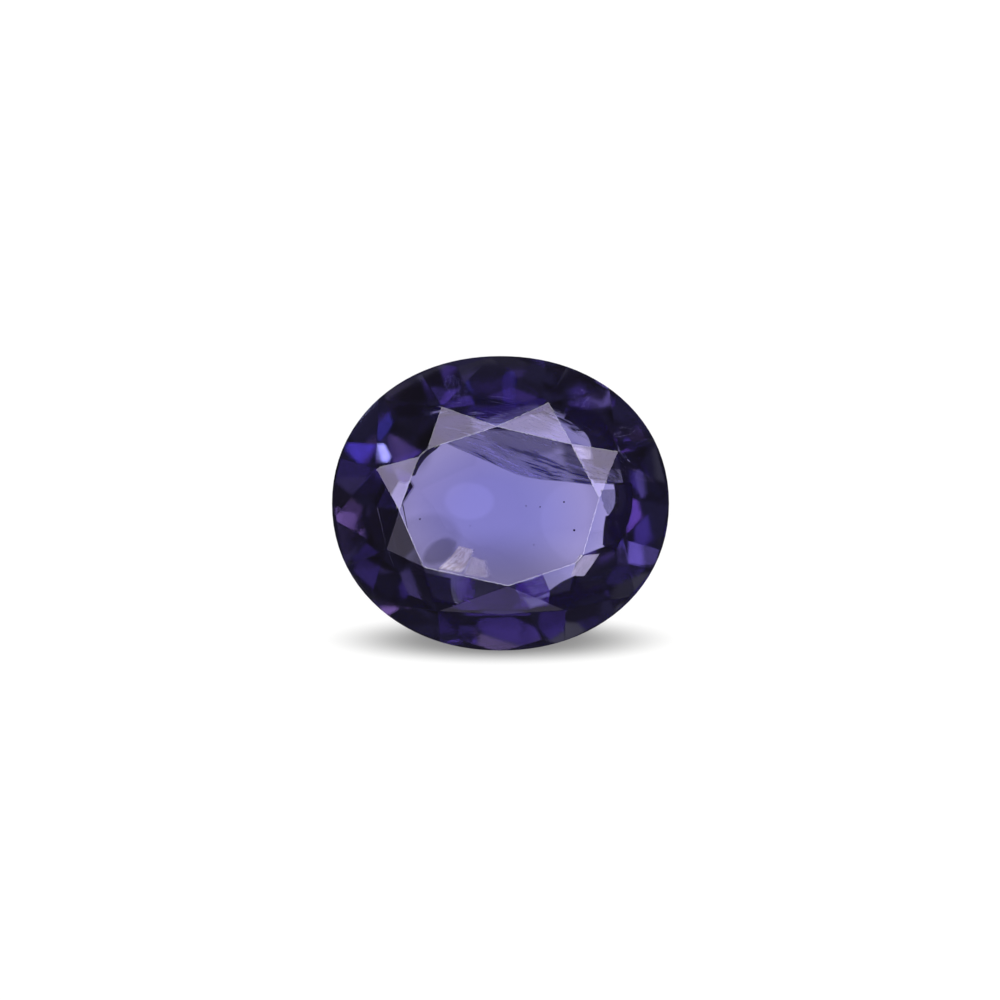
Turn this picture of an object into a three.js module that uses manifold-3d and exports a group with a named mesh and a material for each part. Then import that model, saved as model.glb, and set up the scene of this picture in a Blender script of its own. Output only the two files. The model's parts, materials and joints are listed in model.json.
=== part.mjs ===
// A faceted oval iolite, one solid stone made the way it is cut: an oval preform is held to a flat lap again and
// again, and every facet is one plane ground off it.
//
// The stone is cut in its own frame, in millimetres: +X along its length, +Y across its width, +Z out of the table,
// z = 0 at the middle of the girdle. At the end it is set down as it rests, on its small flat culet facet.
import * as THREE from "three";
import { mergeVertices } from "three/addons/utils/BufferGeometryUtils.js";
import Module from "manifold-3d";

const wasm = await Module();
wasm.setup();

// The preform's oval, and the stone's height above and below the middle of the girdle
const HALF_LENGTH = 5.15;
const HALF_WIDTH = 4.5;
const OVAL_POWER = 2.08; // 2 would be an ellipse, and a little more fills out the shoulders
const OVAL_STEPS = 96;
const CROWN_HEIGHT = 1.45;
const PAVILION_ROOM = 5; // rough below the girdle, more than the pavilion needs
const CROWN_EDGE = 0.12; // height that the crown's facets come down to at the girdle
const PAVILION_EDGE = 0.22; // depth that the pavilion's ring comes up to at the girdle

// Crown. The table's corners go round clockwise from the far end of the width. A kite facet falls from each corner:
// azimuth is the way it faces, foot is how far out it ends as a share of the oval, and nick is how far it cuts back
// past its corner. The near kite is cut short, and its two neighbours close over it above the girdle.
const TABLE_CORNERS = [
  { x: -0.11, y: 2.34, azimuth: 92.5, foot: 1, nick: 0 },
  { x: 2.16, y: 1.8, azimuth: 54.5, foot: 1, nick: 0 },
  { x: 3.01, y: 0.18, azimuth: 3.5, foot: 1, nick: 0 },
  { x: 2.45, y: -1.77, azimuth: -40.9, foot: 1, nick: 0.09 },
  { x: 0.23, y: -2.51, azimuth: -89.1, foot: 0.754, nick: 0 },
  { x: -2.34, y: -1.94, azimuth: -136.4, foot: 1, nick: 0 },
  { x: -3.09, y: -0.21, azimuth: -174.2, foot: 1, nick: 0 },
  { x: -2.43, y: 1.59, azimuth: 131.8, foot: 1, nick: 0.09 },
];
const SHORT_KITE_HEIGHT = 0.93; // height of the short kite's foot
const STAR_TILTS = [20.6, 19.6, 21, 20, 19.8, 21.5, 18.8, 20.8]; // one star facet between each pair of corners

// Pavilion, a hand-cut one whose tilts wander. Tilt 0 would lie parallel to the table.
const BREAK_FACETS = { count: 16, turn: 11, tilt: 56, depth: 0.12 }; // thin facets just under the girdle
const RING_FACETS = [
  { azimuth: -90, tilt: 47 },
  { azimuth: -64, tilt: 46 },
  { azimuth: -40, tilt: 48 },
  { azimuth: -14, tilt: 46 },
  { azimuth: 12, tilt: 47 },
  { azimuth: 38, tilt: 49 },
  { azimuth: 64, tilt: 47 },
  { azimuth: 90, tilt: 46 },
  { azimuth: 116, tilt: 45 },
  { azimuth: 142, tilt: 48 },
  { azimuth: 168, tilt: 46 },
  { azimuth: 194, tilt: 48 },
  { azimuth: 220, tilt: 46 },
  { azimuth: 244, tilt: 48 },
];
// Shallower facets inside the ring. They let light straight through, as the pale window seen through the table.
// share is how far out each one meets the ring, as a share of the oval.
const WINDOW_FACETS = [
  { azimuth: -90, tilt: 34, share: 0.585 },
  { azimuth: -55, tilt: 30, share: 0.6 },
  { azimuth: -20, tilt: 27, share: 0.54 },
  { azimuth: 8, tilt: 27, share: 0.55 },
  { azimuth: 38, tilt: 27, share: 0.55 },
  { azimuth: 66, tilt: 29, share: 0.53 },
  { azimuth: 92, tilt: 33, share: 0.5 },
  { azimuth: 126, tilt: 35, share: 0.57 },
  { azimuth: 156, tilt: 31, share: 0.56 },
  { azimuth: 182, tilt: 33, share: 0.595 },
  { azimuth: 208, tilt: 34, share: 0.61 },
  { azimuth: 236, tilt: 34, share: 0.64 },
];
// The last facets before the culet, each with the depth at which its plane would cross the stone's axis
const INNER_FACETS = [
  { azimuth: -62, tilt: 20, depth: 3.47 },
  { azimuth: 8, tilt: 17, depth: 3.36 },
  { azimuth: 75, tilt: 21, depth: 3.49 },
  { azimuth: 138, tilt: 19, depth: 3.6 },
  { azimuth: 208, tilt: 20, depth: 3.72 },
];
const CULET = { azimuth: -90, tilt: 4, depth: 3.2 }; // the facet that the stone rests on

const radians = THREE.MathUtils.degToRad;
const degrees = THREE.MathUtils.radToDeg;
const LAP_SIZE = 40;

// The oval's point in the direction of an azimuth
function ovalAt(azimuth) {
  const c = Math.cos(radians(azimuth));
  const s = Math.sin(radians(azimuth));
  const sum = Math.abs(c / HALF_LENGTH) ** OVAL_POWER + Math.abs(s / HALF_WIDTH) ** OVAL_POWER;
  const reach = sum ** (-1 / OVAL_POWER);
  return new THREE.Vector2(c * reach, s * reach);
}

// The oval's point where its edge faces an azimuth
function ovalFacing(azimuth) {
  const c = Math.cos(radians(azimuth));
  const s = Math.sin(radians(azimuth));
  const power = OVAL_POWER / (OVAL_POWER - 1);
  const along = Math.abs(HALF_LENGTH * c) ** power;
  const across = Math.abs(HALF_WIDTH * s) ** power;
  return new THREE.Vector2(
    HALF_LENGTH * Math.sign(c) * (along / (along + across)) ** (1 / OVAL_POWER),
    HALF_WIDTH * Math.sign(s) * (across / (along + across)) ** (1 / OVAL_POWER),
  );
}

function directionOf(azimuth) {
  return new THREE.Vector2(Math.cos(radians(azimuth)), Math.sin(radians(azimuth)));
}

// The azimuth that the oval's edge faces at its point in the direction of an azimuth
function edgeAzimuth(azimuth) {
  const p = ovalAt(azimuth);
  const nx = (Math.sign(p.x) * Math.abs(p.x / HALF_LENGTH) ** (OVAL_POWER - 1)) / HALF_LENGTH;
  const ny = (Math.sign(p.y) * Math.abs(p.y / HALF_WIDTH) ** (OVAL_POWER - 1)) / HALF_WIDTH;
  return degrees(Math.atan2(ny, nx));
}

// A facet is a plane: a point on it and its outward normal. side is +1 for the crown and -1 for the pavilion.
function facet(x, y, z, azimuth, tilt, side) {
  const outward = directionOf(azimuth).multiplyScalar(Math.sin(radians(tilt)));
  const normal = new THREE.Vector3(outward.x, outward.y, side * Math.cos(radians(tilt)));
  return { point: new THREE.Vector3(x, y, z), normal };
}

function facetHeight({ point, normal }, x, y) {
  return point.z - (normal.x * (x - point.x) + normal.y * (y - point.y)) / normal.z;
}

function facetThrough(a, b, c) {
  const normal = new THREE.Vector3().crossVectors(b.clone().sub(a), c.clone().sub(a)).normalize();
  if (normal.z < 0) normal.negate();
  return { point: a, normal };
}

function meetPoint(planes) {
  const rows = new THREE.Matrix3().set(...planes.flatMap(({ normal }) => normal.toArray()));
  const offsets = planes.map(({ point, normal }) => point.dot(normal));
  return new THREE.Vector3(...offsets).applyMatrix3(rows.invert());
}

function tableFacet() {
  return facet(0, 0, CROWN_HEIGHT, 0, 0, 1);
}

function kiteFoot({ azimuth, foot }) {
  const edge = ovalFacing(azimuth).multiplyScalar(foot);
  return new THREE.Vector3(edge.x, edge.y, foot < 1 ? SHORT_KITE_HEIGHT : CROWN_EDGE);
}

function kiteFacet(corner) {
  const foot = kiteFoot(corner);
  const facing = directionOf(corner.azimuth);
  const run = facing.x * (foot.x - corner.x) + facing.y * (foot.y - corner.y) + corner.nick;
  const tilt = degrees(Math.atan2(CROWN_HEIGHT - foot.z, run));
  return facet(foot.x, foot.y, foot.z, corner.azimuth, tilt, 1);
}

// A star facet hangs from the table's edge between two corners
function starFacet(from, to, tilt) {
  const azimuth = degrees(Math.atan2(to.x - from.x, from.y - to.y));
  return facet(from.x, from.y, CROWN_HEIGHT, azimuth, tilt, 1);
}

// Beside a star's tip, a girdle facet runs from the tip to the kite's foot and down to the girdle. The one beside
// the short kite meets the girdle halfway round to the foot.
function upperGirdleFacet(tip, corner) {
  const foot = kiteFoot(corner);
  const tipAzimuth = degrees(Math.atan2(tip.y, tip.x));
  const footAzimuth = degrees(Math.atan2(foot.y, foot.x));
  const turn = ((footAzimuth - tipAzimuth + 540) % 360) - 180;
  const edge = ovalAt(tipAzimuth + (corner.foot < 1 ? turn / 2 : 0));
  return facetThrough(tip, foot, new THREE.Vector3(edge.x, edge.y, CROWN_EDGE));
}

function crownFacets() {
  const kites = TABLE_CORNERS.map(kiteFacet);
  const facets = [tableFacet(), ...kites];
  TABLE_CORNERS.forEach((corner, i) => {
    const next = (i + 1) % TABLE_CORNERS.length;
    const star = starFacet(corner, TABLE_CORNERS[next], STAR_TILTS[i]);
    const tip = meetPoint([star, kites[i], kites[next]]);
    facets.push(star, upperGirdleFacet(tip, corner), upperGirdleFacet(tip, TABLE_CORNERS[next]));
  });
  return facets;
}

function breakFacets() {
  const { count, turn, tilt, depth } = BREAK_FACETS;
  return Array.from({ length: count }, (_, i) => {
    const azimuth = turn + (i * 360) / count - 90;
    const edge = ovalAt(azimuth);
    return facet(edge.x, edge.y, -depth, edgeAzimuth(azimuth), tilt, -1);
  });
}

function ringFacets() {
  return RING_FACETS.map(({ azimuth, tilt }) => {
    const edge = ovalFacing(azimuth);
    return facet(edge.x, edge.y, -PAVILION_EDGE, azimuth, tilt, -1);
  });
}

function windowFacets(ring) {
  return WINDOW_FACETS.map(({ azimuth, tilt, share }) => {
    const facing = directionOf(azimuth);
    const meet = facing.clone().multiplyScalar(ovalFacing(azimuth).dot(facing) * share);
    const height = Math.max(...ring.map((plane) => facetHeight(plane, meet.x, meet.y)));
    return facet(meet.x, meet.y, height, azimuth, tilt, -1);
  });
}

function pavilionFacets() {
  const ring = ringFacets();
  const middle = [...INNER_FACETS, CULET].map(({ azimuth, tilt, depth }) => facet(0, 0, -depth, azimuth, tilt, -1));
  return [...breakFacets(), ...ring, ...windowFacets(ring), ...middle];
}

function solidFrom(geometry) {
  geometry.deleteAttribute("normal");
  geometry.deleteAttribute("uv");
  const merged = mergeVertices(geometry, 1e-5);
  return new wasm.Manifold(
    new wasm.Mesh({
      numProp: 3,
      vertProperties: merged.getAttribute("position").array,
      triVerts: new Uint32Array(merged.index.array),
    }),
  );
}

function geometryFrom(solid) {
  const mesh = solid.getMesh();
  const geometry = new THREE.BufferGeometry();
  geometry.setAttribute("position", new THREE.BufferAttribute(mesh.vertProperties, 3));
  geometry.setIndex(new THREE.BufferAttribute(mesh.triVerts, 1));
  return geometry;
}

function makePreform() {
  const oval = new THREE.Shape(
    Array.from({ length: OVAL_STEPS }, (_, i) => ovalAt((i * 360) / OVAL_STEPS)),
  );
  const rough = new THREE.ExtrudeGeometry(oval, {
    depth: PAVILION_ROOM + CROWN_HEIGHT + 1,
    bevelEnabled: false,
  });
  rough.translate(0, 0, -PAVILION_ROOM);
  return solidFrom(rough);
}

// Grinds away everything outside a facet's plane
function grind(stone, { point, normal }) {
  const waste = new THREE.BoxGeometry(LAP_SIZE, LAP_SIZE, LAP_SIZE);
  waste.translate(0, 0, LAP_SIZE / 2);
  waste.applyQuaternion(new THREE.Quaternion().setFromUnitVectors(new THREE.Vector3(0, 0, 1), normal));
  waste.translate(point.x, point.y, point.z);
  return stone.subtract(solidFrom(waste));
}

function makeStone() {
  const stone = [...crownFacets(), ...pavilionFacets()].reduce(grind, makePreform());
  const material = new THREE.MeshStandardMaterial({ color: 0x5a50a8, roughness: 0.02, metalness: 0 });
  const mesh = new THREE.Mesh(geometryFrom(stone), material);
  mesh.name = "gemstone";
  return mesh;
}

const iolite = new THREE.Group();
iolite.add(makeStone());

// Set down: the culet facet turns to face straight down and comes to z = 0, with the stone centred above the origin
iolite.rotation.x = radians(CULET.tilt);
iolite.updateMatrixWorld(true);
const box = new THREE.Box3().setFromObject(iolite, true);
const middle = box.getCenter(new THREE.Vector3());
iolite.position.set(-middle.x, -middle.y, -box.min.z);

export default iolite;
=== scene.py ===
import json
import math

import bmesh
import bpy
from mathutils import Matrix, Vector, noise
from mathutils.bvhtree import BVHTree


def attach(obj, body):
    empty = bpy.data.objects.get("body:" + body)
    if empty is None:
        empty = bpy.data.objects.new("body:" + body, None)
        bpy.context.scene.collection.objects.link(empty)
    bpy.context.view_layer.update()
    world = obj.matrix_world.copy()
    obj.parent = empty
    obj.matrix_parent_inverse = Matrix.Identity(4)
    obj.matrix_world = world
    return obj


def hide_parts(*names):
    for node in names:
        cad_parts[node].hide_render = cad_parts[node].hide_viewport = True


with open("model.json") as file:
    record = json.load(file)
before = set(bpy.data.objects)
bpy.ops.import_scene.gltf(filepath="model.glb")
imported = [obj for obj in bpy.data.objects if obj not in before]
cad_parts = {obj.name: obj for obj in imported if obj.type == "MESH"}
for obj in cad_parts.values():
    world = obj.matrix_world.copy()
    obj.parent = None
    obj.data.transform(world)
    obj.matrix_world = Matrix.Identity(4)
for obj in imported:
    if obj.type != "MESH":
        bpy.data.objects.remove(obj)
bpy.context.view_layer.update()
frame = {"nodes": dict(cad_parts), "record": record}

# Lengths are in metres, and mm stands for a millimetre.
mm = 0.001
IOR = 1.543

# The table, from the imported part: its middle, the way it faces, and the way that is up the picture
table = next(mount for mount in frame["record"]["mounts"] if mount["name"] == "table")
table_middle = Vector(table["pos_m"])
table_normal = Vector(table["axis"]).normalized()
picture_up = table_normal.cross(Vector((1, 0, 0))).normalized()

# Heights above the floor between which the stone's waist runs, and its middle there
GIRDLE_BOTTOM = 3.02 * mm
GIRDLE_TOP = 3.42 * mm
GIRDLE_MIDDLE = Vector((0, 0, 3.24 * mm))


def mesh_from(bm, name):
    mesh = bpy.data.meshes.new(name)
    bm.to_mesh(mesh)
    bm.free()
    return mesh


def add_piece(name, mesh, material):
    piece = bpy.data.objects.new(name, mesh)
    piece.data.materials.append(material)
    bpy.context.scene.collection.objects.link(piece)
    return piece


# Shader graphs
class Graph:
    """The nodes of a material or world, made one by one with their inputs"""

    def __init__(self, owner):
        owner.use_nodes = True
        self.owner = owner
        self.tree = owner.node_tree
        self.tree.nodes.clear()

    @classmethod
    def of_material(cls, name):
        return cls(bpy.data.materials.new(name))

    def node(self, kind, inputs=None, **settings):
        node = self.tree.nodes.new("ShaderNode" + kind)
        for name, value in settings.items():
            setattr(node, name, value)
        for name, value in (inputs or {}).items():
            if isinstance(value, bpy.types.NodeSocket):
                self.tree.links.new(value, node.inputs[name])
            else:
                node.inputs[name].default_value = value
        return node

    def math(self, operation, first, second=0.0, third=0.0):
        inputs = {0: first, 1: second, 2: third}
        return self.node("Math", inputs, operation=operation).outputs[0]

    def ramp(self, value, low, high, start=0.0, end=1.0):
        inputs = {"Value": value, "From Min": low, "From Max": high, "To Min": start, "To Max": end}
        return self.node("MapRange", inputs, interpolation_type="SMOOTHSTEP").outputs[0]

    def position(self):
        return self.node("NewGeometry").outputs["Position"]

    def noise(self, where, scale=1, detail=3.0, roughness=0.5, distortion=0.0):
        inputs = {"Vector": where, "Scale": scale, "Detail": detail, "Roughness": roughness,
                  "Distortion": distortion}
        return self.node("TexNoise", inputs).outputs["Fac"]

    def product(self, first, *others):
        for other in others:
            first = self.math("MULTIPLY", first, other)
        return first

    def colour(self, share, first, second):
        # A colour mix has its share at socket 0, its two colours at 6 and 7, and its result at 2.
        inputs = {0: share, 6: (*first, 1), 7: (*second, 1)}
        return self.node("Mix", inputs, data_type="RGBA").outputs[2]

    def mix(self, share, first, second):
        return self.node("MixShader", {0: share, 1: first, 2: second}).outputs[0]

    def finish(self, surface, volume=None):
        inputs = {"Surface": surface}
        if volume:
            inputs["Volume"] = volume
        self.node("OutputMaterial", inputs)
        return self.owner


# The polished stone. Corners closer than WELD are joined, and triangles that turn by less than
# FLAT_WITHIN are one facet. Arrises sharper and longer than the least ones are worn to a width.
WELD = 0.0004 * mm
FLAT_WITHIN = math.radians(0.4)
LEAST_ANGLE = math.radians(2)
LEAST_LENGTH = 0.12 * mm
CROWN_ARRIS = 0.024 * mm
PAVILION_ARRIS = 0.040 * mm
# Facets are told apart by how much they face up, from 1 for a level one to -1 for one underneath.
# Where a range is given, what belongs to the facet fades in or out over it.
FLATTER_CROWN = 0.6
PAVILION_SIDE = -0.3
GIRDLE_SIDE = 0.2
GIRDLE_FADES = (0.15, 0.25)
KITES_BEGIN = (0.20, 0.40)
KITES_END = (0.893, 0.903)
# The girdle is frosted, the pavilion is roughly polished in low waves, and the kites are a little
# softer than the table and stars.
GIRDLE_ROUGHNESS = 0.22
PAVILION_ROUGHNESS = 0.05
KITE_ROUGHNESS = 0.025
WAVE_SCALE = 700
WAVE_HEIGHT = 0.0035 * mm
BODY_COLOUR = (0.23, 0.19, 0.60, 1)
BODY_DENSITY = 500


def welded(source):
    """The stone with each flat facet as one face"""
    bm = bmesh.new()
    bm.from_mesh(source)
    bmesh.ops.remove_doubles(bm, verts=bm.verts, dist=WELD)
    bmesh.ops.dissolve_degenerate(bm, edges=bm.edges, dist=WELD)
    bmesh.ops.dissolve_limit(bm, angle_limit=FLAT_WITHIN, verts=bm.verts, edges=bm.edges)
    bm.normal_update()
    return bm


def arrises(bm, wanted):
    """Sharp edges between two facets that both face up by a wanted share"""
    return [edge for edge in bm.edges
            if edge.calc_length() >= LEAST_LENGTH and edge.calc_face_angle(0) >= LEAST_ANGLE
            and all(wanted(face.normal.z) for face in edge.link_faces)]


def wear(bm, edges, width, steps):
    bmesh.ops.bevel(bm, geom=edges, offset=width, offset_type="WIDTH", segments=steps,
                    affect="EDGES", clamp_overlap=False)
    bm.normal_update()


def polished_mesh(source):
    bm = welded(source)
    wear(bm, arrises(bm, lambda up: up > FLATTER_CROWN), CROWN_ARRIS, 1)
    wear(bm, arrises(bm, lambda up: up < PAVILION_SIDE), PAVILION_ARRIS, 2)
    for face in bm.faces:
        face.smooth = abs(face.normal.z) < GIRDLE_SIDE
    return mesh_from(bm, "gemstone_polished")


def stone_material():
    graph = Graph.of_material("iolite_crystal")
    where = graph.position()
    height = graph.node("SeparateXYZ", {0: where}).outputs["Z"]
    facing = graph.node("SeparateXYZ", {0: graph.node("NewGeometry").outputs["Normal"]}).outputs["Z"]
    girdle = graph.ramp(graph.math("ABSOLUTE", facing), *GIRDLE_FADES, 1, 0)
    below = graph.ramp(height, GIRDLE_BOTTOM, GIRDLE_TOP, 1, 0)
    kites = graph.product(graph.ramp(facing, *KITES_BEGIN), graph.ramp(facing, *KITES_END, 1, 0))
    rough = graph.math("MULTIPLY", below, PAVILION_ROUGHNESS)
    rough = graph.math("MULTIPLY_ADD", girdle, GIRDLE_ROUGHNESS, rough)
    rough = graph.math("MULTIPLY_ADD", kites, KITE_ROUGHNESS, rough)
    waves = graph.noise(where, WAVE_SCALE, detail=1)
    relief = graph.node("Bump", {"Height": waves, "Distance": WAVE_HEIGHT, "Strength": below})
    crystal = graph.node("BsdfPrincipled", {
        "Base Color": (1, 1, 1, 1), "Transmission Weight": 1, "IOR": IOR,
        "Roughness": rough, "Normal": relief.outputs[0]})
    absorb = graph.node("VolumeAbsorption", {"Density": BODY_DENSITY, "Color": BODY_COLOUR})
    return graph.finish(crystal.outputs[0], absorb.outputs[0])


stone_mesh = frame["nodes"]["gemstone"].data
stone = add_piece("gemstone_polished", polished_mesh(stone_mesh), stone_material())
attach(stone, "root")
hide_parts("gemstone")


# Inclusions are placed by where they show when the stone is seen square to its table: across and
# up from the middle, and how deep, in millimetres.
ABOVE_TABLE = 5
RIPPLES = 1.6
outside = BVHTree.FromPolygons([corner.co for corner in stone_mesh.vertices],
                               [facet.vertices for facet in stone_mesh.polygons])


def inside(across, up, depth):
    """The place straight down from the table's plane"""
    ahead = (table_middle - GIRDLE_MIDDLE).dot(table_normal)
    flat = Vector((across * mm, 0, 0)) + picture_up * (up * mm)
    return GIRDLE_MIDDLE + flat + table_normal * (ahead - depth * mm)


def behind(across, up, depth):
    """The place down from the facet that is looked through, bent there as the light is"""
    place, normal, *_ = outside.ray_cast(inside(across, up, -ABOVE_TABLE), -table_normal)
    facing = normal.dot(table_normal)
    through = facing / IOR - math.sqrt(1 - (1 - facing ** 2) / IOR ** 2)
    return place + (normal * through - table_normal / IOR) * (depth * mm)


def smooth_line(points, steps):
    """Points along a smooth curve through the given ones"""
    line = []
    last = len(points) - 1
    for step in range(steps + 1):
        place = step / steps * last
        at = min(int(place), last - 1)
        t = place - at
        p = [Vector(points[max(0, min(last, at + k))]) for k in (-1, 0, 1, 2)]
        bend = (p[2] - p[0]) * t + (2 * p[0] - 5 * p[1] + 4 * p[2] - p[3]) * t ** 2
        line.append(p[1] + (bend + (3 * p[1] - p[0] - 3 * p[2] + p[3]) * t ** 3) / 2)
    return line


def sheet_mesh(name, near, far, along, across, wave=0.0, seed=0.0, place=inside):
    """A thin wavy sheet between two curves, with its length and width as UV"""
    first = smooth_line(near, along)
    second = smooth_line(far, along)
    bm = bmesh.new()
    uv = bm.loops.layers.uv.new("UVMap")
    grid = []
    for i, (a, b) in enumerate(zip(first, second)):
        row = []
        for j in range(across + 1):
            at = a.lerp(b, j / across)
            lift = noise.noise(Vector((at.x * RIPPLES, at.y * RIPPLES, seed))) * wave
            row.append(bm.verts.new(place(at.x, at.y, at.z + lift)))
        grid.append(row)
    for i in range(along):
        for j in range(across):
            face = bm.faces.new((grid[i][j], grid[i + 1][j], grid[i + 1][j + 1], grid[i][j + 1]))
            face.smooth = True
            for loop, (di, dj) in zip(face.loops, ((0, 0), (1, 0), (1, 1), (0, 1))):
                loop[uv].uv = ((i + di) / along, (j + dj) / across)
    return mesh_from(bm, name)


def add_inclusion(name, mesh, material):
    piece = add_piece(name, mesh, material)
    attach(piece, "root")


def film(graph, cover, first, second, share, from_behind=0.6):
    """A thin film that covers part of what is behind it, matt, in a mix of two colours"""
    tint = graph.colour(share, first, second)
    lit = graph.mix(from_behind, graph.node("BsdfDiffuse", {"Color": tint}).outputs[0],
                    graph.node("BsdfTranslucent", {"Color": tint}).outputs[0])
    clear = graph.node("BsdfTransparent", {"Color": (1, 1, 1, 1)}).outputs[0]
    return graph.finish(graph.mix(cover, clear, lit))


def along_and_up(graph):
    split = graph.node("SeparateXYZ", {0: graph.node("UVMap").outputs[0]})
    return split.outputs["X"], split.outputs["Y"]


def slanted(graph, along, up, per_length, per_width, slope=0.0):
    """Where to sample noise so that its streaks run along the sheet, falling by a slope"""
    fallen = graph.math("MULTIPLY_ADD", along, slope, up)
    return graph.node("CombineXYZ", {
        0: graph.math("MULTIPLY", along, per_length),
        1: graph.math("MULTIPLY", fallen, per_width)}).outputs[0]


def inner_part(graph, along, up, start, end, near, far):
    """One inside the sheet, falling to nothing over the given shares at its four sides"""
    return graph.product(graph.ramp(along, 0.0, start), graph.ramp(along, 1 - end, 1.0, 1, 0),
                         graph.ramp(up, 0.0, near), graph.ramp(up, 1 - far, 1.0, 1, 0))


# Colours of the inclusions, and how far in a crisp border fades, as a share of the sheet
VEIL_DARK = (0.014, 0.012, 0.16)
VEIL_PALE = (0.62, 0.59, 0.80)
FEATHER_TAN = (0.35, 0.31, 0.31)
FEATHER_WHITE = (0.50, 0.47, 0.51)
SPECK = (0.02, 0.015, 0.03, 1)
CRISP_BORDER = 0.06


def veil_material():
    """A healed crack: a film of tiny drops, dark and bluish, drawn out in dark and pale streaks"""
    graph = Graph.of_material("healed_crack")
    along, up = along_and_up(graph)
    # Broad bands with fine threads in them
    bands = slanted(graph, along, up, 2.6, 7, 0.28)
    bands = graph.noise(bands, detail=4, roughness=0.6, distortion=0.5)
    threads = slanted(graph, along, up, 6, 26, 0.30)
    threads = graph.noise(threads, detail=3, roughness=0.6, distortion=0.3)
    grain = graph.math("MULTIPLY_ADD", threads, 0.6, bands)
    # Where the grain is high it is dark, more so along the lower border, and where it is low, pale.
    border = graph.ramp(up, 0.02, 0.26, 1, 0)
    dark = graph.ramp(graph.math("MULTIPLY_ADD", border, 0.08, grain), 0.84, 0.95)
    pale = graph.ramp(grain, 0.74, 0.64)
    # The haze and the dark streaks thin out upwards, and the pale streaks grow denser.
    cover = graph.ramp(up, 0.22, 0.50, 0.50, 0.20)
    cover = graph.math("MULTIPLY_ADD", dark, graph.ramp(up, 0.40, 0.60, 0.42, 0.10), cover)
    cover = graph.math("MULTIPLY_ADD", pale, graph.ramp(up, 0.30, 0.55, 0.22, 0.52), cover)
    cover = graph.product(cover, inner_part(graph, along, up, 0.05, 0.10, 0.03, 0.15))
    return film(graph, cover, VEIL_DARK, VEIL_PALE, pale)


def feather_material(name, dense):
    """A crackled, tan-white break with folds along it"""
    graph = Graph.of_material(name)
    along, up = along_and_up(graph)
    crackle = graph.noise(slanted(graph, along, up, 7, 7), detail=5, roughness=0.7)
    folds = slanted(graph, along, up, 2.5, 9, 0.2)
    folds = graph.noise(folds, detail=4, roughness=0.6, distortion=0.6)
    shade = graph.ramp(graph.math("MULTIPLY_ADD", folds, 1.4, crackle), 1.08, 1.34)
    inner = inner_part(graph, along, up, 0.12, 0.20, 0.10, 0.35)
    cover = graph.product(graph.ramp(crackle, 0.30, 0.52, 0.75, 1), inner, dense)
    return film(graph, cover, FEATHER_TAN, FEATHER_WHITE, shade, from_behind=0.2)


def haze_material(name, dense, tint, streak, slope, crisp):
    """A faint sheet with streaks along it, soft all round or with a crisp border, for faint cracks
    and for patches of painted light and shade
    """
    graph = Graph.of_material(name)
    along, up = along_and_up(graph)
    threads = slanted(graph, along, up, 3, 10, slope)
    threads = graph.noise(threads, detail=4, roughness=0.6, distortion=0.5)
    streaks = graph.ramp(threads, 0.44, 0.58, 1 - streak, 1)
    if crisp:
        edge = inner_part(graph, along, up, *[CRISP_BORDER] * 4)
    else:
        aside = {0: graph.math("SUBTRACT", along, 0.5), 1: graph.math("SUBTRACT", up, 0.5)}
        aside = graph.node("CombineXYZ", aside).outputs[0]
        away = graph.node("VectorMath", {0: aside}, operation="LENGTH").outputs["Value"]
        wander = graph.noise(slanted(graph, along, up, 3, 3), detail=2)
        edge = graph.ramp(graph.math("MULTIPLY_ADD", wander, 0.20, away), 0.40, 0.60, 1, 0)
    return film(graph, graph.product(streaks, edge, dense), tint, tint, 0.0, from_behind=0.3)


def make_healed_fissure():
    lower = ((-1.75, 1.85, 2.2), (-0.9, 1.46, 2.3), (-0.27, 1.19, 2.35), (0.55, 0.83, 2.4),
             (1.32, 0.68, 2.4), (1.89, 0.64, 2.4), (2.79, 0.54, 2.3), (3.4, 0.50, 2.1))
    upper = ((-2.1, 2.7, 1.5), (-1.3, 3.1, 1.4), (-0.3, 3.2, 1.3), (0.7, 3.05, 1.3),
             (1.6, 2.75, 1.3), (2.4, 2.4, 1.4), (3.1, 1.9, 1.5), (3.7, 1.3, 1.8))
    mesh = sheet_mesh("healed_fissure", lower, upper, 72, 28, wave=0.10)
    add_inclusion("healed_fissure", mesh, veil_material())


def make_feather():
    left = ((-1.28, -1.28, 0.9), (-1.58, -1.66, 0.7), (-1.98, -2.04, 0.5))
    right = ((-0.72, -1.40, 0.9), (-0.86, -1.86, 0.7), (-1.10, -2.20, 0.5))
    mesh = sheet_mesh("feather", left, right, 30, 24, wave=0.15, seed=3.0)
    add_inclusion("feather", mesh, feather_material("feather", 0.85))
    left = ((-0.90, -1.60, 0.7), (-1.00, -1.90, 0.6), (-1.20, -2.20, 0.5))
    right = ((-0.40, -1.75, 0.7), (-0.30, -2.05, 0.6), (-0.20, -2.36, 0.5))
    mesh = sheet_mesh("feather_skirt", left, right, 20, 16, wave=0.10, seed=5.0)
    add_inclusion("feather_skirt", mesh, feather_material("feather_skirt", 0.40))
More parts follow.
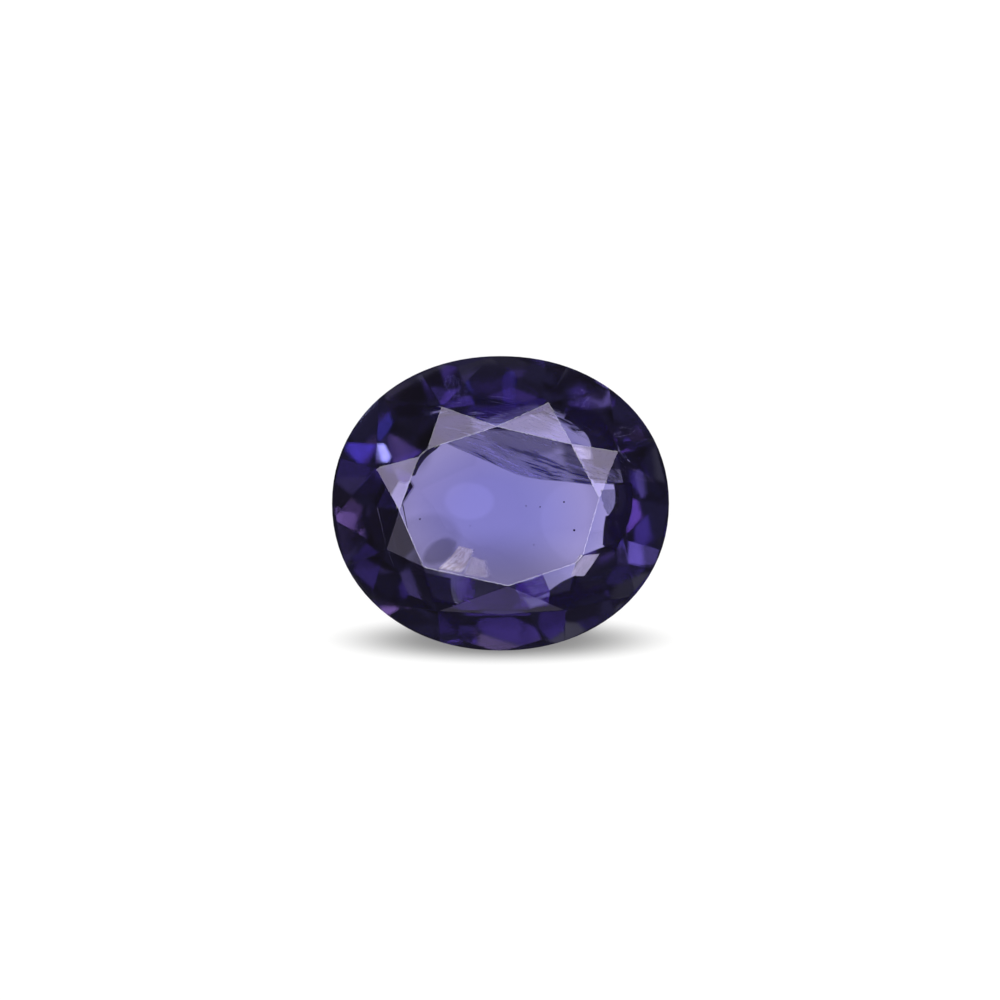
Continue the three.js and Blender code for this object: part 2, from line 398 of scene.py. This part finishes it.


# Fainter flaws, and soft sheets of painted light and shade: the two long sides, how they are placed,
# and cover, colour, streaks and their slope
FLAWS_AND_PAINTED_PATCHES = {
    # Painted shade: a dark soft lobe in the window
    "dark_lobe": (((-2.50, -1.45, 2.2), (-1.95, -1.05, 2.4), (-1.45, -0.90, 2.6)),
              ((-2.40, -2.05, 2.2), (-1.75, -1.90, 2.4), (-1.20, -1.45, 2.6)),
              inside, 0.42, (0.02, 0.012, 0.03), 0.0, 0.0),
    # A soft violet patch painted low down, where the cut throws violet light
    "low_violet": (((-1.55, -2.15, 0.4), (-1.45, -2.65, 0.4), (-1.35, -3.10, 0.4)),
                   ((-0.65, -2.25, 0.4), (-0.70, -2.65, 0.4), (-0.75, -3.10, 0.4)),
                   behind, 0.45, (0.045, 0.018, 0.20), 0.5, 0.0),
    # Violet crackled streaks seen through the north-west kite
    "wisp": (((-2.05, 3.85, 0.4), (-1.75, 3.55, 0.4), (-1.55, 3.00, 0.4)),
             ((-1.25, 4.05, 0.4), (-1.00, 3.55, 0.4), (-0.80, 3.00, 0.4)),
             behind, 0.35, (0.06, 0.045, 0.20), 0.9, 0.5),
    # Painted violet light: a streaked stripe above the table
    "top_blade": (((-0.05, 4.15, 0.4), (0.00, 3.40, 0.4), (0.00, 2.60, 0.4)),
                  ((0.60, 4.15, 0.4), (0.50, 3.40, 0.4), (0.50, 2.60, 0.4)),
                  behind, 0.35, (0.035, 0.018, 0.22), 0.5, 0.0),
    # Tiny cracks, with painted violet light along the stripe they lie in
    "cracked_blade": (((2.15, 3.55, 0.4), (1.95, 3.00, 0.4), (1.80, 2.30, 0.4)),
                      ((2.90, 3.50, 0.4), (2.80, 3.00, 0.4), (2.55, 2.30, 0.4)),
                      behind, 0.35, (0.045, 0.030, 0.14), 0.9, 1.0),
    "thread": (((3.4, 2.30, 0.4), (3.8, 2.40, 0.4), (4.2, 2.35, 0.4)),
               ((3.4, 1.90, 0.4), (3.8, 1.95, 0.4), (4.2, 1.95, 0.4)),
               behind, 0.30, (0.06, 0.05, 0.10), 1.0, 0.3),
    "low_thread": (((3.4, 1.30, 0.4), (4.1, 1.10, 0.4), (4.7, 0.85, 0.4)),
                   ((3.4, 0.95, 0.4), (4.1, 0.70, 0.4), (4.7, 0.50, 0.4)),
                   behind, 0.30, (0.05, 0.04, 0.09), 1.0, 0.2),
}


# Painted shade: thin dark or violet sheets close under the crown, with crisp borders, put where the
# cut turns the light away: the two long sides, then cover, colour and streaks. They end the bright
# window where it ends in the photograph. The two pale ones add painted light.
NEAR_SURFACE = 0.35
DARK = (0.002, 0.001, 0.014)
SHADES = {
    "shade_notch": (((-1.80, 1.80), (-2.19, 1.66), (-2.46, 1.42), (-2.62, 1.07), (-2.70, 0.80)),
                    ((-1.92, 1.66), (-2.13, 1.50), (-2.32, 1.31), (-2.50, 1.05), (-2.60, 0.82)),
                    0.95, DARK, 0.0),
    "shade_high": (((1.90, 2.56), (2.28, 2.38), (2.64, 2.02), (2.78, 1.56)),
                   ((2.10, 3.02), (3.00, 2.70), (3.41, 2.11), (3.56, 1.68)), 0.97, DARK, 0.0),
    "shade_star": (((2.78, 1.66), (2.80, 1.38), (2.84, 1.10)),
                   ((3.56, 1.74), (3.68, 1.40), (3.78, 1.00)), 0.90, DARK, 0.1),
    "shade_star_foot": (((2.44, 1.36), (2.63, 0.98), (2.84, 0.60)),
                        ((3.30, 1.30), (3.60, 0.94), (3.87, 0.54)), 0.78, DARK, 0.3),
    # Pale streaks at the crack's end, brightened into a painted highlight where the star facet shows
    # light
    "pale_streaks": (((2.16, 1.74), (2.45, 1.70), (2.74, 1.66)),
                     ((2.36, 1.36), (2.58, 1.34), (2.77, 1.32)), 0.24, (0.78, 0.72, 0.92), 0.50),
    "grey_east": (((3.04, 0.42), (3.06, 0.16), (3.14, -0.12), (3.26, -0.36)),
                  ((3.60, 0.44), (3.62, 0.16), (3.60, -0.12), (3.50, -0.40)), 0.50, DARK, 0.1),
    "shade_east": (((3.42, 0.64), (3.48, 0.25), (3.42, -0.15), (3.16, -0.50)),
                   ((4.02, 0.66), (4.06, 0.20), (4.02, -0.25), (3.90, -0.70)), 0.985, DARK, 0.0),
    "shade_low_east": (((3.18, -0.38), (3.12, -0.80), (3.10, -1.31)),
                       ((3.96, -0.30), (3.84, -0.83), (3.50, -1.50)), 0.985, DARK, 0.0),
    "shade_south_east": (((1.48, -2.66), (1.88, -2.37), (2.30, -2.18)),
                         ((1.46, -3.18), (2.12, -3.09), (2.74, -2.84)), 0.95, DARK, 0.0),
    "shade_south_west": (((-2.44, -2.06), (-2.26, -2.56), (-2.08, -3.06)),
                         ((-1.48, -2.29), (-1.48, -2.72), (-1.36, -3.09)), 0.90, DARK, 0.0),
    "violet_blade": (((0.38, -2.45), (0.90, -2.29), (1.30, -2.17)),
                     ((0.60, -2.87), (1.05, -2.90), (1.54, -2.72)), 0.86, (0.022, 0.008, 0.13), 0.15),
    "violet_foot": (((0.55, -2.76), (1.00, -2.78), (1.52, -2.62)),
                    ((0.60, -3.20), (1.05, -3.20), (1.50, -3.15)), 0.60, (0.030, 0.014, 0.14), 0.15),
    "violet_top": (((-0.87, 2.54), (-0.11, 2.40), (0.60, 2.58), (1.38, 2.86)),
                   ((-0.69, 2.92), (-0.02, 3.00), (0.60, 3.09), (1.42, 3.25)),
                   0.85, (0.012, 0.006, 0.07), 0.3),
    # A painted highlight: a pale patch in the dark south-east of the ring
    "bright_corner": (((2.36, -1.60), (2.24, -1.93), (2.14, -2.24)),
                      ((3.04, -1.53), (2.80, -1.90), (2.55, -2.24)), 0.80, (0.33, 0.30, 0.42), 0.12),
}


def make_flaws_and_painted_patches():
    for number, (name, faint_sheet) in enumerate(FLAWS_AND_PAINTED_PATCHES.items()):
        near, far, place, dense, tint, streak, slope = faint_sheet
        mesh = sheet_mesh(name, near, far, 16, 10, wave=0.04, seed=number, place=place)
        add_inclusion(name, mesh, haze_material(name, dense, tint, streak, slope, crisp=False))
    for name, (near, far, dense, tint, streak) in SHADES.items():
        near, far = ([(*point, NEAR_SURFACE) for point in side] for side in (near, far))
        mesh = sheet_mesh(name, near, far, 16, 10, place=behind)
        add_inclusion(name, mesh, haze_material(name, dense, tint, streak, 0.0, crisp=True))


def crystal_material():
    graph = Graph.of_material("dark_crystals")
    return graph.finish(graph.node("BsdfDiffuse", {"Color": SPECK}).outputs[0])


def make_pinpoints():
    """Specks of dark crystal: across, up, depth and radius"""
    spots = ((2.25, -0.83, 1.6, 0.040), (1.94, 0.03, 1.9, 0.030), (1.21, -0.12, 2.2, 0.024),
             (0.78, -0.09, 1.3, 0.020), (-2.46, -0.49, 1.7, 0.030), (-0.93, -0.70, 2.4, 0.016),
             (1.02, -1.28, 2.0, 0.018))
    bm = bmesh.new()
    for across, up, depth, radius in spots:
        made = bmesh.ops.create_icosphere(bm, subdivisions=1, radius=radius * mm)
        bmesh.ops.translate(bm, verts=made["verts"], vec=inside(across, up, depth))
    add_inclusion("pinpoints", mesh_from(bm, "pinpoints"), crystal_material())


make_healed_fissure()
make_feather()
make_flaws_and_painted_patches()
make_pinpoints()


# The floor is plain pale paper to the camera. What the stone gathers from it is drawn as a glow:
# an oval pool of light under the stone, bluish in the middle, warmer and dimmer at its rim.
FLOOR_RADIUS = 24 * mm
FLOOR_DROP = 0.03 * mm
PAPER = 0.03
PAPER_GLOW = 0.88
# Two soft ovals of shadow, one in front of the stone and one under it: middle and half widths,
# from what share of those to what share it fades, and what is left of the light in the middle
SHADOWS = (
    ((0.0, -4.0, 3.7, 0.52), (0.55, 1.60), 0.20),
    ((0.0, -0.7, 4.6, 3.70), (0.78, 1.05), 0.34),
)
# The pool's middle and half widths, in millimetres, with its glow in the middle, at the rim and
# around it. The three ranges are shares of the half widths over which these and the tint change.
POOL = (0.05, 0.0, 3.0, 2.3)
POOL_GLOW = 1.42
RIM_GLOW = 1.15
AROUND_GLOW = 0.12
TO_RIM = (0.80, 1.0)
PAST_RIM = (1.0, 1.15)
BLUISH = (0.97, 1.00, 1.08)
WARMER = (1.04, 1.00, 0.96)
TO_WARMER = (0.30, 0.95)
# Spots of the pool: middle, half widths in millimetres, brightness there and softness
SPOTS = (
    (-0.95, 0.28, 0.74, 0.56, 1.14, 0.14),
    (2.20, -0.25, 1.00, 1.10, 1.07, 0.08),
    (-2.20, -1.00, 1.00, 0.95, 0.82, 0.14),
    (0.00, -2.60, 3.20, 1.50, 0.58, 0.50),
    (0.95, 2.45, 1.80, 0.85, 0.50, 0.15),
    (-2.70, 1.60, 0.85, 0.75, 0.65, 0.20),
    (2.90, 1.90, 1.10, 1.10, 0.35, 0.12),
)


def reach(graph, x, y, half_x, half_y):
    """How far out a point of the floor is, as a share of an oval's half widths"""
    inputs = {0: graph.position(), 1: (x * mm, y * mm, 0)}
    away = graph.node("VectorMath", inputs, operation="SUBTRACT")
    inputs = {0: away.outputs[0], 1: (1 / half_x / mm, 1 / half_y / mm, 0)}
    scaled = graph.node("VectorMath", inputs, operation="MULTIPLY")
    return graph.node("VectorMath", {0: scaled.outputs[0]}, operation="LENGTH").outputs["Value"]


def floor_material():
    graph = Graph.of_material("pale_floor")
    out = reach(graph, *POOL)
    glow = graph.ramp(out, *TO_RIM, POOL_GLOW, RIM_GLOW)
    glow = graph.math("MULTIPLY", glow, graph.ramp(out, *PAST_RIM, 1, AROUND_GLOW / RIM_GLOW))
    for x, y, half_x, half_y, bright, soft in SPOTS:
        spot = graph.ramp(reach(graph, x, y, half_x, half_y), 1 - soft, 1 + soft, bright, 1)
        glow = graph.math("MULTIPLY", glow, spot)
    tint = graph.colour(graph.ramp(out, *TO_WARMER), BLUISH, WARMER)
    gathered = graph.node("Emission", {"Color": tint, "Strength": glow}).outputs[0]
    left = graph.product(*(graph.ramp(reach(graph, *oval), *fade, dark, 1)
                           for oval, fade, dark in SHADOWS))
    paper = graph.node("AddShader", {
        0: graph.node("Emission", {"Strength": graph.math("MULTIPLY", left, PAPER_GLOW)}).outputs[0],
        1: graph.node("BsdfDiffuse", {"Color": (PAPER, PAPER, PAPER, 1)}).outputs[0]}).outputs[0]
    seen = graph.node("LightPath").outputs["Is Camera Ray"]
    return graph.finish(graph.mix(seen, gathered, paper))


def make_floor():
    bm = bmesh.new()
    bmesh.ops.create_circle(bm, cap_ends=True, segments=96, radius=FLOOR_RADIUS)
    bmesh.ops.translate(bm, verts=bm.verts, vec=(0, 0, -FLOOR_DROP))
    add_piece("floor", mesh_from(bm, "floor"), floor_material())


make_floor()


# Soft lamps hang level about RIG_HEIGHT above the stone. The larger a lamp is, the higher it hangs,
# so that a small one is never hidden. Each has its place and its size, across and up the picture as
# shares of its height, then the brightness of its face and its tint. A brightness of one is
# FACE_POWER watts from each square metre. Those in MIRRORED are mirrored by the crown's facets, and
# those in THROUGH only shine through the stone.
RIG_HEIGHT = 1.0
SMALLEST_HEIGHT = 0.98
HEIGHT_BY_AREA = 0.05
FACE_POWER = 4
ARRIS_LAMP_SIZE = (0.05, 0.05)
ARRIS_LAMP_BRIGHTNESS = 4
# How far facets face the way the table does: the table itself, the stars at least, kites at most
TABLE_FACING = 0.9999
STAR_FACING = 0.90
STEEP_FACING = 0.92
VIOLET = (1.0, 0.88, 1.25)
PINK = (1.8, 1.2, 1.0)
ROSE = (4.5, 3.2, 1.0)
STRAW = (3.6, 4.6, 1.0)
GREYISH = (3.1, 2.9, 1.0)
REDDISH = (3.4, 1.85, 1.0)
DEEP_ROSE = (7.0, 5.5, 1.0)
DEEP_GREY = (5.0, 4.0, 1.0)
WHITE = (1.0, 1.0, 1.0)
MIRRORED = {
    "back_strip": ((-0.03, 0.74), (0.66, 0.12), 3.0, VIOLET),
    "back_right": ((0.71, 0.30), (0.08, 0.08), 3.2, VIOLET),
    "back_left": ((-0.71, 0.19), (0.08, 0.08), 3.0, VIOLET),
    "low_left": ((-0.88, -0.45), (0.10, 0.10), 0.65, VIOLET),
    "front": ((0.03, -2.16), (0.50, 0.40), 0.45, VIOLET),
}
THROUGH = {
    "flash": ((1.37, -0.78), (0.18, 0.18), 17, STRAW),
    "flash_neck": ((0.80, -0.34), (0.06, 0.08), 2.5, WHITE),
    "flash_side": ((1.16, -0.60), (0.08, 0.06), 0.3, PINK),
    "flash_spot": ((1.00, -0.62), (0.08, 0.06), 3.6, VIOLET),
    "right_low": ((1.275, -0.655), (0.65, 0.39), 1.4, PINK),
    "right_mid": ((0.955, -0.33), (0.06, 0.14), 1.0, GREYISH),
    "right_side": ((0.93, 0.05), (0.09, 0.10), 4.0, PINK),
    "right_back": ((0.86, 0.28), (0.08, 0.08), 1.1, PINK),
    "right_far": ((1.05, 0.08), (0.10, 0.08), 1.0, PINK),
    "right_edge": ((1.35, 0.03), (0.08, 0.12), 0.9, PINK),
    "right_glint": ((1.26, 0.16), (0.06, 0.06), 0.9, GREYISH),
    "far_glint": ((0.86, 0.96), (0.10, 0.20), 1.2, PINK),
    "left_side": ((-1.11, -0.11), (0.48, 0.29), 1.7, PINK),
    "left_blade": ((-1.20, -0.22), (0.12, 0.12), 3.8, REDDISH),
    "left_high": ((-0.90, 0.05), (0.12, 0.16), 3.4, GREYISH),
    "left_spot": ((-1.44, 0.89), (0.16, 0.18), 1.8, PINK),
    "left_near": ((-0.55, -0.24), (0.08, 0.08), 1.4, PINK),
    "left_mid": ((-0.44, -0.13), (0.06, 0.16), 1.7, PINK),
    "left_back": ((-0.84, 0.66), (0.10, 0.10), 0.8, PINK),
    "left_front": ((-0.54, -0.69), (0.08, 0.08), 2.2, GREYISH),
    "front_left": ((-0.37, -1.10), (0.16, 0.16), 1.0, PINK),
    "front_right": ((0.40, -0.83), (0.08, 0.24), 2.2, PINK),
    "front_near": ((0.015, -0.22), (0.17, 0.14), 1.1, PINK),
    "front_floor": ((0.05, 2.75), (0.50, 0.40), 1.5, PINK),
    "front_glint": ((0.40, -0.32), (0.05, 0.05), 5.0, PINK),
    "front_quad": ((0.15, -1.30), (0.08, 0.08), 8, WHITE),
    "back_low": ((-0.20, 0.56), (0.10, 0.18), 1.1, PINK),
    "back_inner": ((0.35, 0.37), (0.08, 0.08), 0.6, PINK),
    "right_near": ((0.575, -0.16), (0.05, 0.05), 3.0, PINK),
    "right_inner": ((0.605, -0.05), (0.05, 0.05), 1.2, PINK),
    "rose": ((0.79, 0.16), (0.12, 0.16), 2.9, ROSE),
    "rose_back": ((1.17, 0.68), (0.12, 0.12), 1.3, ROSE),
    "rose_low": ((0.96, 0.27), (0.07, 0.07), 1.2, PINK),
    "rose_top": ((1.02, 0.49), (0.14, 0.14), 0.9, DEEP_ROSE),
    "front_deep": ((-0.38, -1.28), (0.16, 0.14), 0.45, DEEP_GREY),
    "front_spot": ((0.13, -0.53), (0.08, 0.08), 1.5, GREYISH),
    "right_floor": ((1.13, 0.04), (0.10, 0.10), 1.5, GREYISH),
    "back_floor": ((-0.27, 0.43), (0.08, 0.08), 0.85, GREYISH),
    "left_dim": ((-0.52, 0.14), (0.12, 0.12), 0.28, ROSE),
    "right_dim": ((0.72, 0.27), (0.10, 0.08), 0.30, GREYISH),
    "axis_back": ((0.02, 0.165), (0.08, 0.06), 1.0, PINK),
    "axis_left": ((-0.09, 0.0), (0.05, 0.05), 1.3, PINK),
}


def lamp(name, place, size, brightness, tint, mirrored=False):
    light = bpy.data.lights.new(name, "AREA")
    light.shape = "RECTANGLE"
    wide, deep = size
    height = RIG_HEIGHT * (SMALLEST_HEIGHT + HEIGHT_BY_AREA * wide * deep)
    light.size = wide * height
    light.size_y = deep * height
    light.energy = brightness * FACE_POWER * light.size * light.size_y
    light.color = tint
    holder = bpy.data.objects.new(name, light)
    across, up = place
    holder.location = GIRDLE_MIDDLE + Vector((across, up, 1)) * height
    holder.visible_camera = False
    holder.visible_glossy = mirrored
    holder.visible_transmission = not mirrored
    bpy.context.scene.collection.objects.link(holder)


def light_arrises():
    """Small lamps that the worn edges of the table and of the back star facets mirror"""
    bm = welded(stone_mesh)
    for edge in arrises(bm, lambda up: up > FLATTER_CROWN):
        steeper, flatter = sorted(face.normal.dot(table_normal) for face in edge.link_faces)
        half = sum((face.normal for face in edge.link_faces), Vector()).normalized()
        at_table = flatter > TABLE_FACING
        at_star = flatter > STAR_FACING and steeper < STEEP_FACING and half.dot(picture_up) > 0
        if at_table or at_star:
            way = 2 * half.dot(table_normal) * half - table_normal
            place = (way.x / way.z, way.y / way.z)
            lamp("arris_lamp", place, ARRIS_LAMP_SIZE, ARRIS_LAMP_BRIGHTNESS, WHITE, mirrored=True)
    bm.free()


for name, settings in MIRRORED.items():
    lamp(name, *settings, mirrored=True)
for name, settings in THROUGH.items():
    lamp(name, *settings)
light_arrises()


# The studio around is dim in mirrors, dim and uneven through the stone, bright on what is matt,
# and the camera itself sees it white.
MIRROR_TINT = (0.80, 0.68, 1.0, 1)
MIRROR_DIM = 0.15
THROUGH_TINT = (2.6, 2.9, 1.0, 1)
THROUGH_DIM = (0.10, 0.38)
UNEVEN_SCALE = 3.0
UNEVEN_RANGE = (0.42, 0.66)
STUDIO_MATT = 6.0
STUDIO_WHITE = 1.2


def make_world():
    world = bpy.data.worlds.new("studio")
    bpy.context.scene.world = world
    world.cycles.sampling_method = "NONE"
    graph = Graph(world)
    way = graph.node("TexCoord").outputs["Generated"]
    uneven = graph.ramp(graph.noise(way, UNEVEN_SCALE, detail=1), *UNEVEN_RANGE, *THROUGH_DIM)
    through = graph.node("Background", {"Color": THROUGH_TINT, "Strength": uneven}).outputs[0]
    mirrored = graph.node("Background", {"Color": MIRROR_TINT, "Strength": MIRROR_DIM}).outputs[0]
    matt = graph.node("Background", {"Color": (1, 1, 1, 1), "Strength": STUDIO_MATT}).outputs[0]
    white = graph.node("Background", {"Color": (1, 1, 1, 1), "Strength": STUDIO_WHITE}).outputs[0]
    path = graph.node("LightPath")
    shade = graph.mix(path.outputs["Is Transmission Ray"], mirrored, through)
    shade = graph.mix(path.outputs["Diffuse Depth"], shade, matt)
    shade = graph.mix(path.outputs["Is Camera Ray"], shade, white)
    graph.node("OutputWorld", {"Surface": shade})


make_world()


# The camera looks square onto the table, from far off through a long lens.
LENS = 400
SENSOR = 36
NEAREST_SEEN = 0.01
FARTHEST_SEEN = 10
PICTURE_WIDTH = 30.564 * mm
# How far the picture's middle is from the stone's, to the right and up
OFF_MIDDLE = (-0.015 * mm, 0.092 * mm)


def make_camera():
    data = bpy.data.cameras.new("camera")
    data.lens = LENS
    data.sensor_width = SENSOR
    data.clip_start = NEAREST_SEEN
    data.clip_end = FARTHEST_SEEN
    camera = bpy.data.objects.new("camera", data)
    across, up = OFF_MIDDLE
    aim = GIRDLE_MIDDLE + Vector((across, 0, 0)) + picture_up * up
    camera.location = aim + table_normal * (PICTURE_WIDTH * LENS / SENSOR)
    camera.rotation_mode = "QUATERNION"
    camera.rotation_quaternion = table_normal.to_track_quat("Z", "Y")
    bpy.context.scene.collection.objects.link(camera)
    bpy.context.scene.camera = camera


make_camera()

# Light bounces many times inside a cut stone before it leaves.
BOUNCES = 24
scene = bpy.context.scene
scene.view_settings.view_transform = "Standard"
scene.cycles.max_bounces = BOUNCES
scene.cycles.transmission_bounces = BOUNCES
scene.cycles.glossy_bounces = BOUNCES
scene.cycles.transparent_max_bounces = BOUNCES
